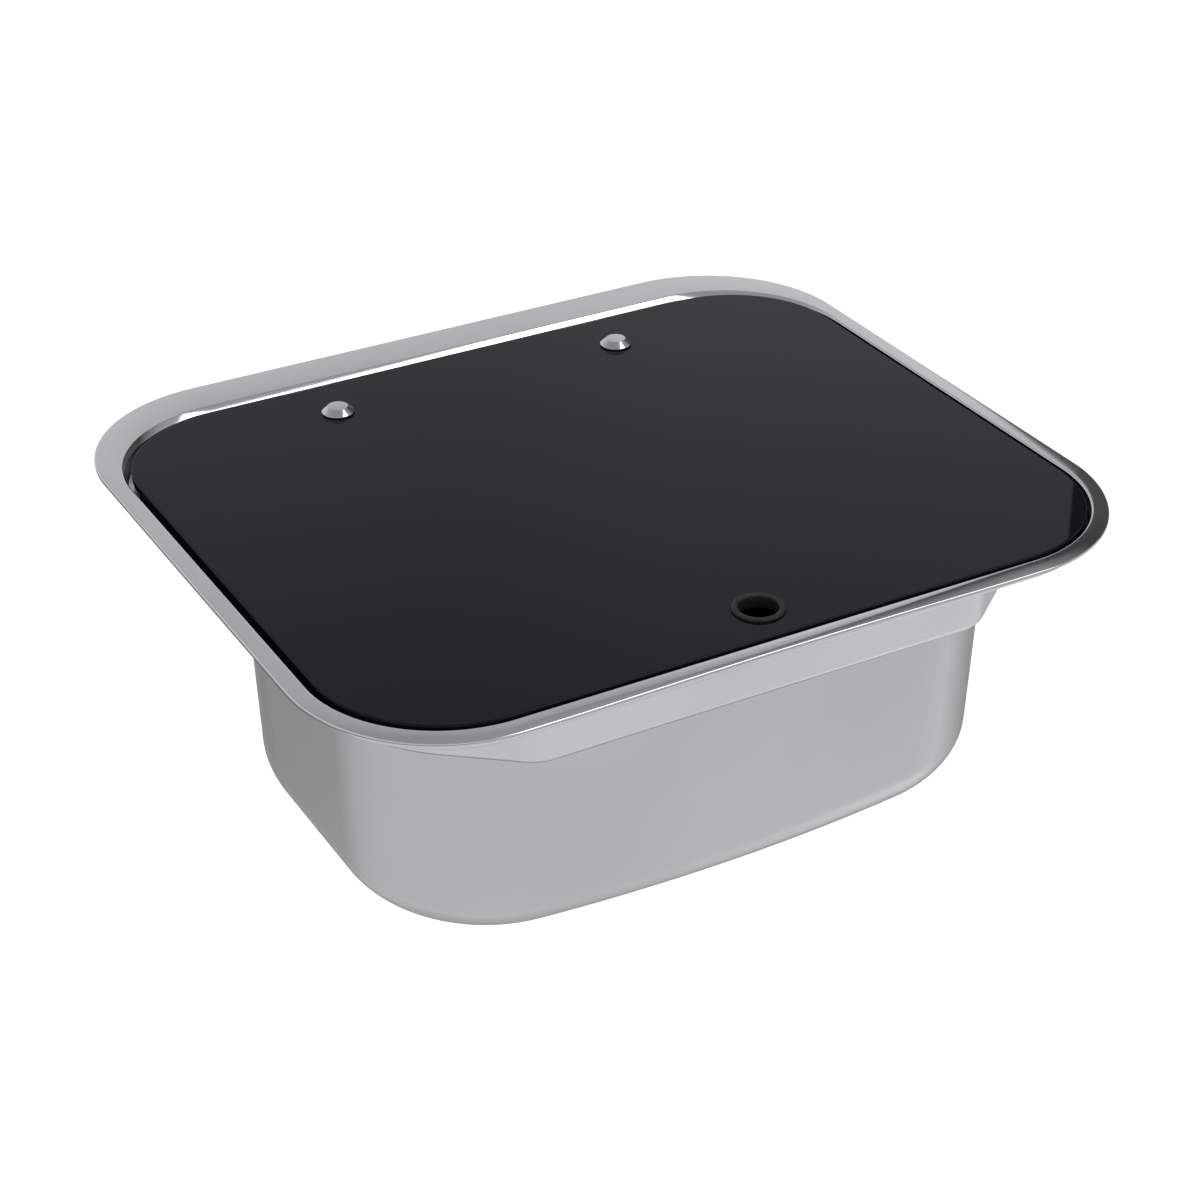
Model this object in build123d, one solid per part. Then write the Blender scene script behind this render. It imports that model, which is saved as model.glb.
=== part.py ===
from build123d import *
import math
import os

# Drop-in caravan sink with a hinged glass lid. Millimetres, +Z up.
# Z = 0 is the worktop, X = 0 the middle of the sink, and the front (finger hole) is at -Y.

# ---- Pressed sink: flange ----
sheet = 0.8                  # steel thickness
flange_width = 420.0
flange_depth = 370.0
flange_corner = 75.5
flange_height = 2.5          # top of the flange above the worktop
flange_edge_round = 2.2
side_rim = 9.1               # flange, from its outer edge to the lid recess
front_rim = 8.8
rear_rim = 27.0

# ---- Pressed sink: lid recess and its ledge ----
recess_corner = 65.9
ledge_drop = 7.2             # ledge below the worktop
recess_round = 1.2           # between the recess wall and the ledge
rim_round = 2.4              # inner edge of the flange
side_ledge = 17.7
front_ledge = 14.5
rear_ledge = 32.7

# ---- Pressed sink: upper basin and the step round it ----
step_drop = 36.7             # step below the worktop
step_width = 12.4
step_round = 5.2             # between the upper wall and the step
upper_draft = 3.0            # degrees
pocket_depth = 8.0           # front pocket, beyond the rounded front of the basin
pocket_flank = 38.6          # degrees between the pocket's flank and its front
pocket_corner = 20.0

# ---- Pressed sink: deep bowl ----
bowl_drop = 161.0            # bowl floor below the worktop
bowl_front_corner = 75.9
bowl_rear_corner = 99.7
bowl_front_bow = 4.8         # how far the front wall curves out
side_draft = 0.028           # wall slopes, mm in per mm down
front_draft = 0.033
rear_draft = 0.015
bottom_reach = 53.5          # curve between wall and floor, across
bottom_rise = 35.6           # the same curve, in height
curve_cuts = 6               # level cuts that shape the curve

# ---- Drain ----
drain_y = -13.0
dish_radius = 32.2
dish_depth = 3.2
drain_hole_radius = 22.5
gasket_radius = 29.0
upper_gasket_height = 1.5
strainer_radius = 30.0
strainer_plate = 1.2
strainer_cup_radius = 20.5
strainer_cup_depth = 11.0
strainer_holes = 10
strainer_hole_radius = 2.4
strainer_hole_circle = 13.0
drain_screw_radius = 3.0
drain_screw_length = 24.0
drain_screw_head_radius = 5.2
drain_screw_head_height = 2.6
lower_gasket_height = 2.5
waste_flange_radius = 31.0
waste_flange_height = 4.0
waste_cup_radius = 25.5
waste_wall = 2.5
waste_depth = 42.0
waste_boss_radius = 6.5
waste_rib = 3.0
waste_ribs = 3
spigot_radius = 12.5
spigot_bore_radius = 10.0
spigot_land = 28.0           # plain length that the hose goes over
spigot_collar_radius = 15.0
spigot_collar = 4.0
spigot_chamfer = 1.0

# ---- Plug ----
plug_radius = 25.0
plug_lip = 2.5
plug_stem_radius = 18.0
plug_stem_depth = 6.0
plug_cap_radius = 22.5
plug_cap_height = 1.0
plug_knob_radius = 6.0
plug_knob_neck_radius = 3.2
plug_knob_height = 9.0
plug_knob_rim = 3.5

# ---- Glass lid ----
glass_thickness = 4.0
glass_proud = 0.9            # top of the glass above the flange
glass_edge_round = 0.8
glass_rear_corner = 58.0
lid_side_gap = 2.9
lid_front_gap = 1.2

# ---- Finger hole and its rubber grommet ----
finger_inset = 23.0          # from the glass's front edge to the hole's centre
finger_radius = 9.35
grommet_wall = 1.4
grommet_lip = 1.6            # how far its lips lap over the glass
grommet_crown = 1.4
grommet_foot = 1.4
grommet_round = 0.7

# ---- Rubber seal on the ledge ----
seal_gap = 0.5               # between the seal and the recess wall
seal_base_width = 11.0
seal_base_height = 1.5
seal_rib_width = 5.0
seal_rib_inset = 2.0         # rib in from the glass's edge
seal_rear_margin = 1.2       # ledge left bare inside the rear run
seal_rear_corner = 55.0
seal_notch_gap = 0.5

# ---- Sealing tape under the flange ----
tape_inset = 2.4
tape_width = 3.0

# ---- Hinges, one each side ----
hinge_spacing = 162.0
hinge_width = 26.0
hinge_plate = 0.9            # fixed plate's thickness
hinge_plate_front = 21.4     # from the pin's axis
open_gap = 0.3               # between the flange and the rear edge of the upright glass
pin_radius = 0.9
pin_head_radius = 1.5
pin_head = 1.0
knuckle_radius = 1.7
knuckle_middle = 11.8
knuckle_gap = 0.3            # between one knuckle and the next
knuckle_wall_gap = 0.4       # between the knuckles and the recess wall
knuckle_web = 1.8            # foot under each fixed knuckle
pin_clearance = 0.05
rivet_radius = 2.0
rivet_head_radius = 3.4
rivet_head = 0.9
rivet_spacing = 16.0
rivet_setback = 12.5         # rivets in front of the pin
leaf_thickness = 1.5
leaf_front = 12.0            # leaf beyond the bolt's centre
bolt_inset = 32.4            # bolt in from the glass's rear edge
bolt_radius = 3.0
cap_radius = 8.25
cap_top_radius = 5.2
cap_rim = 0.6
cap_bevel = 2.7
cap_washer_radius = 7.6
cap_washer = 0.5
bush_radius = 5.0
pad_thickness = 1.0
pad_radius = 9.0
nut_flats = 10.0
nut_height = 3.2
bolt_end = 0.6               # bolt past its nut

# ---- Worked out from the sizes above ----
recess_half = flange_width / 2 - side_rim
recess_front = flange_depth / 2 - front_rim
recess_rear = flange_depth / 2 - rear_rim
basin_half = recess_half - side_ledge
pocket_front = recess_front - front_ledge
basin_front = pocket_front - pocket_depth
basin_rear = recess_rear - rear_ledge
upper_growth = (step_drop - ledge_drop) * math.tan(math.radians(upper_draft))
glass_half = recess_half - lid_side_gap
glass_front = recess_front - lid_front_gap
glass_top = flange_height + glass_proud
glass_bottom = glass_top - glass_thickness
leaf_top = glass_bottom - pad_thickness
leaf_bottom = leaf_top - leaf_thickness
pin_z = leaf_top
pin_y = recess_rear - knuckle_wall_gap - knuckle_radius
glass_rear = pin_y - (flange_height + open_gap - pin_z)
bolt_y = glass_rear - bolt_inset
plate_top = hinge_plate - ledge_drop
dish_floor = -bowl_drop - dish_depth
strainer_bottom = dish_floor + upper_gasket_height
strainer_top = strainer_bottom + strainer_plate
waste_top = dish_floor - sheet - lower_gasket_height
hinge_sides = {"left": -hinge_spacing / 2, "right": hinge_spacing / 2}


def arc(x, y, radius, start, sweep):
    """Arc round (x, y); angles in degrees."""
    return CenterArc((x, y), radius, start, sweep)


def mirrored(edges):
    return [edge.mirror(Plane.YZ) for edge in edges]


def outline(half, front, rear, front_corner, rear_corner, bow=0.0):
    """Rounded rectangle about X = 0. A bow curves its front out, tangent to the corners."""
    front_x = half - front_corner
    front_y = front_corner - front
    rear_x = half - rear_corner
    rear_y = rear - rear_corner
    tilt = 2 * math.atan(bow / front_x)
    start_x = front_x + front_corner * math.sin(tilt)
    start_y = front_y - front_corner * math.cos(tilt)
    edges = [
        arc(front_x, front_y, front_corner, math.degrees(tilt) - 90, 90 - math.degrees(tilt)),
        Line((half, front_y), (half, rear_y)),
        arc(rear_x, rear_y, rear_corner, 0, 90),
    ]
    edges += mirrored(edges)
    edges.append(Line((rear_x, rear), (-rear_x, rear)))
    if bow > 0:
        edges.append(ThreePointArc((-start_x, start_y), (0, -front - bow), (start_x, start_y)))
    else:
        edges.append(Line((-start_x, start_y), (start_x, start_y)))
    return make_face(edges)


def basin_outline(grow):
    """Upper basin: the bowl's outline one step wider, with a flat pocket across the front."""
    corner = bowl_front_corner + step_width + grow
    rear_corner = bowl_rear_corner + step_width + grow
    half = basin_half + grow
    front = basin_front + grow
    rear = basin_rear + grow
    pocket = pocket_front + grow
    small = pocket_corner + grow
    flank = math.radians(pocket_flank)
    centre_x = half - corner
    centre_y = corner - front
    touch_x = centre_x + corner * math.sin(flank)
    touch_y = centre_y - corner * math.cos(flank)
    meet_x = touch_x - (touch_y + pocket) / math.tan(flank)
    tangent = small * math.tan(flank / 2)
    turn_x = meet_x + tangent * math.cos(flank)
    turn_y = tangent * math.sin(flank) - pocket
    edges = [
        arc(meet_x - tangent, small - pocket, small, -90, pocket_flank),
        Line((turn_x, turn_y), (touch_x, touch_y)),
        arc(centre_x, centre_y, corner, pocket_flank - 90, 90 - pocket_flank),
        Line((half, centre_y), (half, rear - rear_corner)),
        arc(half - rear_corner, rear - rear_corner, rear_corner, 0, 90),
    ]
    edges += mirrored(edges)
    edges.append(Line((half - rear_corner, rear), (rear_corner - half, rear)))
    edges.append(Line((tangent - meet_x, -pocket), (meet_x - tangent, -pocket)))
    return make_face(edges)


def bowl_section(depth, inset, grow):
    """Level cut of the deep bowl at a depth below the worktop."""
    below = depth - step_drop
    half = basin_half - step_width - side_draft * below
    front = basin_front - step_width - front_draft * below
    rear = basin_rear - step_width - rear_draft * below
    shape = outline(
        half + grow - inset,
        front + grow - inset,
        rear + grow - inset,
        bowl_front_corner + grow - inset,
        bowl_rear_corner + grow - inset,
        bowl_front_bow,
    )
    return Pos(0, 0, -depth) * shape


def bowl_solid(grow):
    """Deep bowl as a solid: slightly tapered walls, then an elliptic curve into the floor."""
    wall_end = bowl_drop - bottom_rise
    mouth = bowl_section(step_drop - step_round, 0, grow)
    curve = []
    for cut in range(curve_cuts + 1):
        angle = math.radians(90 * cut / curve_cuts)
        depth = wall_end + (bottom_rise + grow) * math.sin(angle)
        inset = (bottom_reach + grow) * (1 - math.cos(angle))
        curve.append(bowl_section(depth, inset, grow))
    return loft([mouth, curve[0]], ruled=True) + loft(curve)


def basin_solid(grow, top):
    """Upper basin as a solid, from the step up to the height given."""
    slope = math.tan(math.radians(upper_draft))
    lower = Pos(0, 0, -step_drop - grow) * basin_outline(grow)
    upper = Pos(0, 0, top) * basin_outline(grow + (step_drop + top) * slope)
    solid = loft([lower, upper], ruled=True)
    return fillet(solid.faces().sort_by(Axis.Z)[0].edges(), step_round + grow)


def recess_solid(grow, top):
    """Lid recess as a solid, from the ledge up to the height given."""
    shape = outline(
        recess_half + grow,
        recess_front + grow,
        recess_rear + grow,
        recess_corner + grow,
        recess_corner + grow,
    )
    solid = Pos(0, 0, -ledge_drop - grow) * extrude(shape, ledge_drop + grow + top)
    return fillet(solid.faces().sort_by(Axis.Z)[0].edges(), recess_round + grow)


def flange_outline(inset):
    """The sink's outer edge, drawn in by the inset."""
    reach = flange_depth / 2 - inset
    corner = flange_corner - inset
    return outline(flange_width / 2 - inset, reach, reach, corner, corner)


def flange_solid(inset, height, edge_round):
    """Flange plate with a rounded upper edge."""
    solid = extrude(flange_outline(inset), height)
    return fillet(solid.faces().sort_by(Axis.Z)[-1].edges(), edge_round)


def at_drain(z):
    return Pos(0, drain_y, z)


def upright(radius, bottom, top):
    """Cylinder on the drain's axis between two heights."""
    return at_drain((bottom + top) / 2) * Cylinder(radius, top - bottom)


def rivet_places(side):
    """Centres of the two rivets of one hinge."""
    x = hinge_sides[side]
    y = pin_y - rivet_setback
    return [(x - rivet_spacing / 2, y), (x + rivet_spacing / 2, y)]


def sink_bowl():
    """One pressed sheet: flange, lid recess, upper basin, step, deep bowl and drain dish."""
    above = flange_height + 1
    skin = flange_solid(0, flange_height, flange_edge_round)
    hollow = flange_solid(sheet, flange_height - sheet, flange_edge_round - sheet)
    skin -= hollow
    skin += recess_solid(sheet, flange_height)
    middle = flange_height - sheet
    ceiling = skin.faces().filter_by(Axis.Z).filter_by_position(Axis.Z, middle - 0.1, middle + 0.1)
    skin = fillet(ceiling[0].inner_wires()[0].edges(), rim_round - sheet)
    skin += basin_solid(sheet, -ledge_drop)
    skin += bowl_solid(sheet)
    skin += upright(dish_radius + sheet, dish_floor - sheet, -bowl_drop)
    skin -= recess_solid(0, above)
    skin -= basin_solid(0, 0)
    skin -= bowl_solid(0)
    skin -= upright(dish_radius, dish_floor, 1 - bowl_drop)
    skin -= upright(drain_hole_radius, dish_floor - 2 * sheet, 1 - bowl_drop)
    for side in hinge_sides:
        for x, y in rivet_places(side):
            skin -= Pos(x, y, -ledge_drop) * Cylinder(rivet_radius, 4 * sheet)
    top = skin.faces().sort_by(Axis.Z)[-1]
    return fillet(top.inner_wires()[0].edges(), rim_round)


def flange_seal():
    """Foam tape in the hollow under the flange; it lies on the worktop."""
    tape = flange_outline(tape_inset) - flange_outline(tape_inset + tape_width)
    return extrude(tape, flange_height - sheet)


def lid_seal():
    """Rubber profile round the ledge: a flat base and a rib that carries the glass."""
    rear = basin_rear + upper_growth + seal_rear_margin + seal_rib_width
    half = recess_half - seal_gap
    front = recess_front - seal_gap
    corner = recess_corner - seal_gap
    base = outline(half, front, rear, corner, seal_rear_corner)
    base -= outline(
        half - seal_base_width,
        front - seal_base_width,
        rear - seal_rib_width,
        corner - seal_base_width,
        seal_rear_corner - seal_rib_width,
    )
    rib_half = glass_half - seal_rib_inset
    rib_front = glass_front - seal_rib_inset
    rib_corner = recess_corner - lid_side_gap - seal_rib_inset
    rib = outline(rib_half, rib_front, rear, rib_corner, seal_rear_corner)
    rib -= outline(
        rib_half - seal_rib_width,
        rib_front - seal_rib_width,
        rear - seal_rib_width,
        rib_corner - seal_rib_width,
        seal_rear_corner - seal_rib_width,
    )
    strip = extrude(base, seal_base_height)
    strip = chamfer(strip.faces().sort_by(Axis.Z)[0].outer_wire().edges(), recess_round)
    seal = Pos(0, 0, -ledge_drop) * (strip + extrude(rib, ledge_drop + glass_bottom))
    notch_width = hinge_width + 4 * seal_notch_gap
    for x in hinge_sides.values():
        cutter = Box(notch_width, 4 * seal_rib_width, ledge_drop)
        seal -= Pos(x, rear, leaf_bottom - seal_notch_gap + ledge_drop / 2) * cutter
    return seal


def glass_lid():
    """Flat tempered glass with polished edges, two bolt holes and the finger hole."""
    corner = recess_corner - lid_side_gap
    shape = outline(glass_half, glass_front, glass_rear, corner, glass_rear_corner)
    plate = extrude(shape, glass_thickness)
    plate = fillet(plate.faces().sort_by(Axis.Z)[-1].edges(), glass_edge_round)
    plate = Pos(0, 0, glass_bottom) * plate
    middle = (glass_top + glass_bottom) / 2
    deep = 2 * glass_thickness
    for x in hinge_sides.values():
        plate -= Pos(x, bolt_y, middle) * Cylinder(bush_radius, deep)
    hole = finger_radius + grommet_wall
    return plate - Pos(0, finger_inset - glass_front, middle) * Cylinder(hole, deep)


def finger_grommet():
    """Rubber ring that lines the finger hole, with a raised round crown."""
    neck = finger_radius + grommet_wall
    lip = neck + grommet_lip
    crown = Pos(0, 0, glass_top + grommet_crown / 2) * Cylinder(lip, grommet_crown)
    crown = fillet(crown.faces().sort_by(Axis.Z)[-1].edges(), grommet_round)
    ring = crown + Pos(0, 0, (glass_top + glass_bottom) / 2) * Cylinder(neck, glass_thickness)
    ring += Pos(0, 0, glass_bottom - grommet_foot / 2) * Cylinder(lip, grommet_foot)
    length = glass_thickness + grommet_crown + grommet_foot
    bore = Pos(0, 0, glass_bottom - grommet_foot + length / 2) * Cylinder(finger_radius, length)
    return Pos(0, finger_inset - glass_front, 0) * (ring - bore)


def on_bolt(shape, z):
    """The shape at both lid bolts, centred at one height."""
    return [Pos(x, bolt_y, z) * shape for x in hinge_sides.values()]


def cap_screws():
    """Chromed screws whose bevelled caps clamp the glass to the hinges."""
    seat = glass_top + cap_washer
    end = leaf_bottom - nut_height - bolt_end
    cap = Pos(0, 0, seat + cap_rim / 2) * Cylinder(cap_radius, cap_rim)
    cap += Pos(0, 0, seat + cap_rim + cap_bevel / 2) * Cone(cap_radius, cap_top_radius, cap_bevel)
    cap += Pos(0, 0, (seat + end) / 2) * Cylinder(bolt_radius, seat - end)
    return Compound(on_bolt(cap, 0))


def cap_washers():
    ring = Cylinder(cap_washer_radius, cap_washer) - Cylinder(bolt_radius, cap_washer)
    return Compound(on_bolt(ring, glass_top + cap_washer / 2))


def hinge_nuts():
    nut = extrude(RegularPolygon(nut_flats / 2, 6, major_radius=False), nut_height)
    nut -= Pos(0, 0, nut_height / 2) * Cylinder(bolt_radius, nut_height)
    return Compound(on_bolt(nut, leaf_bottom - nut_height))


def glass_bush(side):
    """Nylon sleeve that keeps the screw off the glass."""
    sleeve = Cylinder(bush_radius, glass_thickness) - Cylinder(bolt_radius, glass_thickness)
    return Pos(hinge_sides[side], bolt_y, (glass_top + glass_bottom) / 2) * sleeve


def leaf_pad(side):
    """Rubber pad between the glass and the lid's hinge leaf."""
    pad = Cylinder(pad_radius, pad_thickness) - Cylinder(bolt_radius, pad_thickness)
    return Pos(hinge_sides[side], bolt_y, glass_bottom - pad_thickness / 2) * pad


def along_pin(x, radius, length):
    """Cylinder on the hinge axis, centred at x."""
    return Pos(x, pin_y, pin_z) * Rot(0, 90, 0) * Cylinder(radius, length)


def lid_leaf(side):
    """Steel leaf under the glass; its middle knuckle turns on the pin."""
    x = hinge_sides[side]
    back = pin_y - knuckle_radius - 2 * knuckle_gap
    length = back - bolt_y + leaf_front
    plate = Box(hinge_width, length, leaf_thickness)
    plate = fillet(plate.edges().filter_by(Axis.Z).group_by(Axis.Y)[0], hinge_width / 4)
    leaf = Pos(x, back - length / 2, leaf_top - leaf_thickness / 2) * plate
    tongue = Box(knuckle_middle, pin_y - back, leaf_thickness)
    leaf += Pos(x, (pin_y + back) / 2, leaf_top - leaf_thickness / 2) * tongue
    leaf += along_pin(x, knuckle_radius, knuckle_middle)
    leaf -= along_pin(x, pin_radius + pin_clearance, 2 * hinge_width)
    return leaf - Pos(x, bolt_y, leaf_top) * Cylinder(bolt_radius, 4 * leaf_thickness)


def hinge_base(side):
    """Fixed steel hinge half on the rear ledge: a plate with two outer knuckles."""
    x = hinge_sides[side]
    outer = (hinge_width - knuckle_middle) / 2 - knuckle_gap
    length = hinge_plate_front + knuckle_web / 2
    plate = Box(hinge_width, length, hinge_plate)
    base = Pos(x, pin_y - hinge_plate_front + length / 2, plate_top - hinge_plate / 2) * plate
    for way in (-1, 1):
        middle = x + way * (hinge_width - outer) / 2
        base += along_pin(middle, knuckle_radius, outer)
        web = Box(outer, knuckle_web, pin_z - plate_top)
        base += Pos(middle, pin_y, (pin_z + plate_top) / 2) * web
    base -= along_pin(x, pin_radius, 2 * hinge_width)
    for rivet_x, rivet_y in rivet_places(side):
        base -= Pos(rivet_x, rivet_y, plate_top) * Cylinder(rivet_radius, 4 * hinge_plate)
    return base


def hinge_pin(side):
    x = hinge_sides[side]
    pin = along_pin(x, pin_radius, hinge_width)
    for way in (-1, 1):
        pin += along_pin(x + way * (hinge_width + pin_head) / 2, pin_head_radius, pin_head)
    return pin


def hinge_rivets():
    """Four rivets through the fixed hinge plates and the ledge."""
    grip = hinge_plate + sheet
    rivet = Pos(0, 0, -grip / 2) * Cylinder(rivet_radius, grip)
    rivet += Pos(0, 0, rivet_head / 2) * Cone(rivet_head_radius, rivet_radius, rivet_head)
    rivet += Pos(0, 0, -grip - rivet_head / 2) * Cone(rivet_radius, rivet_head_radius, rivet_head)
    places = [place for side in hinge_sides for place in rivet_places(side)]
    return Compound([Pos(x, y, plate_top) * rivet for x, y in places])


def upper_gasket():
    bottom = dish_floor
    top = strainer_bottom
    return upright(gasket_radius, bottom, top) - upright(drain_hole_radius, bottom, top)


def strainer():
    """Steel drain flange with a perforated cup."""
    floor = strainer_bottom - strainer_cup_depth
    body = upright(strainer_radius, strainer_bottom, strainer_top)
    body += upright(strainer_cup_radius + strainer_plate, floor, strainer_bottom)
    body -= upright(strainer_cup_radius, floor + strainer_plate, strainer_top)
    body -= upright(drain_screw_radius, floor, floor + strainer_plate)
    holes = PolarLocations(strainer_hole_circle, strainer_holes)
    cutters = holes * Cylinder(strainer_hole_radius, 4 * strainer_plate)
    return body - at_drain(floor) * Compound(cutters)


def drain_screw():
    """Screw that draws the strainer and the waste together through the floor."""
    seat = strainer_bottom - strainer_cup_depth + strainer_plate
    screw = upright(drain_screw_radius, seat - drain_screw_length, seat)
    head = upright(drain_screw_head_radius, seat, seat + drain_screw_head_height)
    head = fillet(head.faces().sort_by(Axis.Z)[-1].edges(), drain_screw_head_height / 2)
    slot = Box(2 * drain_screw_head_radius, strainer_plate, drain_screw_head_height)
    return screw + head - at_drain(seat + drain_screw_head_height) * slot


def lower_gasket():
    bottom = waste_top
    top = dish_floor - sheet
    return upright(gasket_radius, bottom, top) - upright(drain_hole_radius, bottom, top)


def waste_body():
    """Moulded waste under the bowl: flange, cup with a screw boss, and a level hose spigot."""
    bottom = waste_top - waste_depth
    body = upright(waste_flange_radius, waste_top - waste_flange_height, waste_top)
    cup = upright(waste_cup_radius, bottom, waste_top)
    body += fillet(cup.faces().sort_by(Axis.Z)[0].edges(), 2 * waste_wall)
    spigot_z = bottom + spigot_collar_radius
    inner = waste_cup_radius - waste_wall
    collar_end = waste_cup_radius + spigot_collar
    spigot_end = collar_end + spigot_land
    body += level_cylinder(spigot_collar_radius, 0, collar_end, spigot_z)
    tube = level_cylinder(spigot_radius, 0, spigot_end, spigot_z)
    body += chamfer(tube.faces().sort_by(Axis.Y)[-1].edges(), spigot_chamfer)
    body -= upright(inner, bottom + waste_wall, waste_top)
    body -= level_cylinder(spigot_bore_radius, 0, spigot_end, spigot_z)
    boss_top = strainer_bottom - strainer_cup_depth
    boss_bottom = boss_top - drain_screw_length
    boss = upright(waste_boss_radius, boss_bottom, boss_top)
    rib_height = (boss_top - boss_bottom) / 2
    for rib in PolarLocations(inner / 2 + waste_wall / 4, waste_ribs, start_angle=90 / waste_ribs):
        bar = Box(inner + waste_wall / 2, waste_rib, rib_height)
        boss += at_drain(boss_top - rib_height / 2) * rib * bar
    boss -= upright(drain_screw_radius, boss_bottom, boss_top)
    return body + boss


def level_cylinder(radius, start, end, z):
    """Cylinder that runs to the rear from the drain's axis."""
    middle = drain_y + (start + end) / 2
    return Pos(0, middle, z) * Rot(90, 0, 0) * Cylinder(radius, end - start)


def plug_seal():
    """Rubber plug: a flat lip that lies on the drain flange and a stem in its cup."""
    lip = upright(plug_radius, strainer_top, strainer_top + plug_lip)
    return lip + upright(plug_stem_radius, strainer_top - plug_stem_depth, strainer_top)


def plug_cap():
    bottom = strainer_top + plug_lip
    return upright(plug_cap_radius, bottom, bottom + plug_cap_height)


def plug_knob():
    bottom = strainer_top + plug_lip + plug_cap_height
    top = bottom + plug_knob_height
    knob = upright(plug_knob_radius, top - plug_knob_rim, top)
    knob = fillet(knob.faces().sort_by(Axis.Z)[-1].edges(), plug_knob_rim / 3)
    return knob + upright(plug_knob_neck_radius, bottom, top - plug_knob_rim)


os.makedirs("parts", exist_ok=True)
nodes = {
    "sink_bowl": sink_bowl(),
    "flange_seal": flange_seal(),
    "lid_seal": lid_seal(),
    "glass_lid": glass_lid(),
    "finger_grommet": finger_grommet(),
    "cap_screws": cap_screws(),
    "cap_washers": cap_washers(),
    "hinge_nuts": hinge_nuts(),
    "hinge_rivets": hinge_rivets(),
    "upper_gasket": upper_gasket(),
    "strainer": strainer(),
    "drain_screw": drain_screw(),
    "lower_gasket": lower_gasket(),
    "waste_body": waste_body(),
    "plug_seal": plug_seal(),
    "plug_cap": plug_cap(),
    "plug_knob": plug_knob(),
}
for side in hinge_sides:
    nodes["glass_bush_" + side] = glass_bush(side)
    nodes["leaf_pad_" + side] = leaf_pad(side)
    nodes["lid_leaf_" + side] = lid_leaf(side)
    nodes["hinge_base_" + side] = hinge_base(side)
    nodes["hinge_pin_" + side] = hinge_pin(side)
for name, shape in nodes.items():
    export_step(shape, "parts/" + name + ".step")
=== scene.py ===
import math

import bmesh
import bpy
import numpy as np
from mathutils import Matrix, Vector


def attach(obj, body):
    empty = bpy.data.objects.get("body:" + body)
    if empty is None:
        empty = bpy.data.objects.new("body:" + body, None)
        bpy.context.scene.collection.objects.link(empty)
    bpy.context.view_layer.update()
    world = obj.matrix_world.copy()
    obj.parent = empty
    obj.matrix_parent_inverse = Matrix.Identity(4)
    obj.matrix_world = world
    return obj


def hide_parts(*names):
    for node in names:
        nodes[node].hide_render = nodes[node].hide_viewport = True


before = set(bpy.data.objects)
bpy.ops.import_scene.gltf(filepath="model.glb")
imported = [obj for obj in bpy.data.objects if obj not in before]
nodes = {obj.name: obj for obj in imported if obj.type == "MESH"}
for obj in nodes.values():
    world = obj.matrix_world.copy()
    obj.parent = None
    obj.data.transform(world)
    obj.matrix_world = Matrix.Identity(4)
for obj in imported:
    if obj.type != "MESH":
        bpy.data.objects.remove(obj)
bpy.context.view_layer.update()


# ---- Pressed sink ----
# One sheet of satin stainless steel, 0.8 mm thick, drawn in steps: a rolled flange, the lid's
# recess with its ledge, an upper basin with a pocket and a step, and the deep bowl down to the
# drain dish. It hangs in a worktop by its flange.
MM = 0.001
sheet = 0.8
flange_width, flange_depth, flange_corner, flange_top = 420.0, 370.0, 75.5, 2.5
recess_half, recess_front, recess_rear, recess_corner = 200.9, 176.2, 158.0, 65.9
# An edge: the height of its upright lip, the radius of its bend, and the tilt of the crown
# that follows. The front's is crowned; it goes over into the plain one of the other sides.
crowned_edge, plain_edge = (0.45, 0.9, 20), (1.56, 0.85, 3)
lip_tilt, cut_height, cut_bevel = 85, 0.3, 0.2
crown_start, crown_blend = 115, 55
# The rim round the recess: tight at the front and the sides, and sloped along the rear.
tight_rim, slope_rim, slope_tilt, slope_run = 1.1, (1.0, 1.2), 42.0, 2.8
slope_start, slope_blend = 85, 60
front_lift, lift_reach = 1.3, 115.0
foot_round, mouth_round, step_round, lip_round, dish_round = 1.2, 2.0, 5.2, 3.5, 1.4
ledge_z = -7.2
step_z = -36.7
basin_half, basin_front, basin_rear, pocket_front = 183.2, 153.7, 125.3, 161.7
basin_corners = (88.3, 112.1)
pocket_corner, pocket_flank = 20.0, math.radians(38.6)
upper_lean = 3
upper_slope = math.tan(math.radians(upper_lean))
bowl_half, bowl_front, bowl_rear = 170.8, 141.3, 112.9
bowl_corners = (75.9, 99.7)
bowl_bow = 4.8
bowl_slopes = (0.028, 0.033, 0.015)
floor_z = -161.0
bend_reach, bend_rise = 53.5, 35.6
drain_y = -13.0
dish_radius, dish_z = 32.2, -164.2
drain_hole = 22.5
per_ring, per_straight = 560, 60


def arc_points(x, y, radius, start, end):
    """Points on an arc, about one for each third of a degree; angles in radians."""
    count = max(3, int(abs(end - start) / 0.006))
    angles = np.linspace(start, end, count)
    return np.column_stack([x + radius * np.cos(angles), y + radius * np.sin(angles)])


def both_sides(right):
    """Closes a right half, which runs from the front to the rear, with its mirror image."""
    left = right[::-1] * (-1, 1)
    return np.vstack([right, left])


def rounded_outline(half, front, rear, corners, bow=0.0):
    """Rounded rectangle about X = 0; a bow curves its front out, tangent to the corners."""
    front_r, rear_r = corners
    front_x = half - front_r
    tilt = 2 * math.atan(bow / front_x)
    start_x = front_x + front_r * math.sin(tilt)
    start_y = front_r - front - front_r * math.cos(tilt)
    xs = np.linspace(0, start_x, per_straight, endpoint=False)
    if bow > 0:
        radius = start_x / math.sin(tilt)
        ys = start_y + radius * math.cos(tilt) - np.sqrt(radius**2 - xs**2)
    else:
        ys = np.full(per_straight, -front)
    right = [
        np.column_stack([xs, ys]),
        arc_points(front_x, front_r - front, front_r, tilt - math.pi / 2, 0),
        arc_points(half - rear_r, rear - rear_r, rear_r, 0, math.pi / 2),
    ]
    return both_sides(np.vstack(right))


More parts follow.
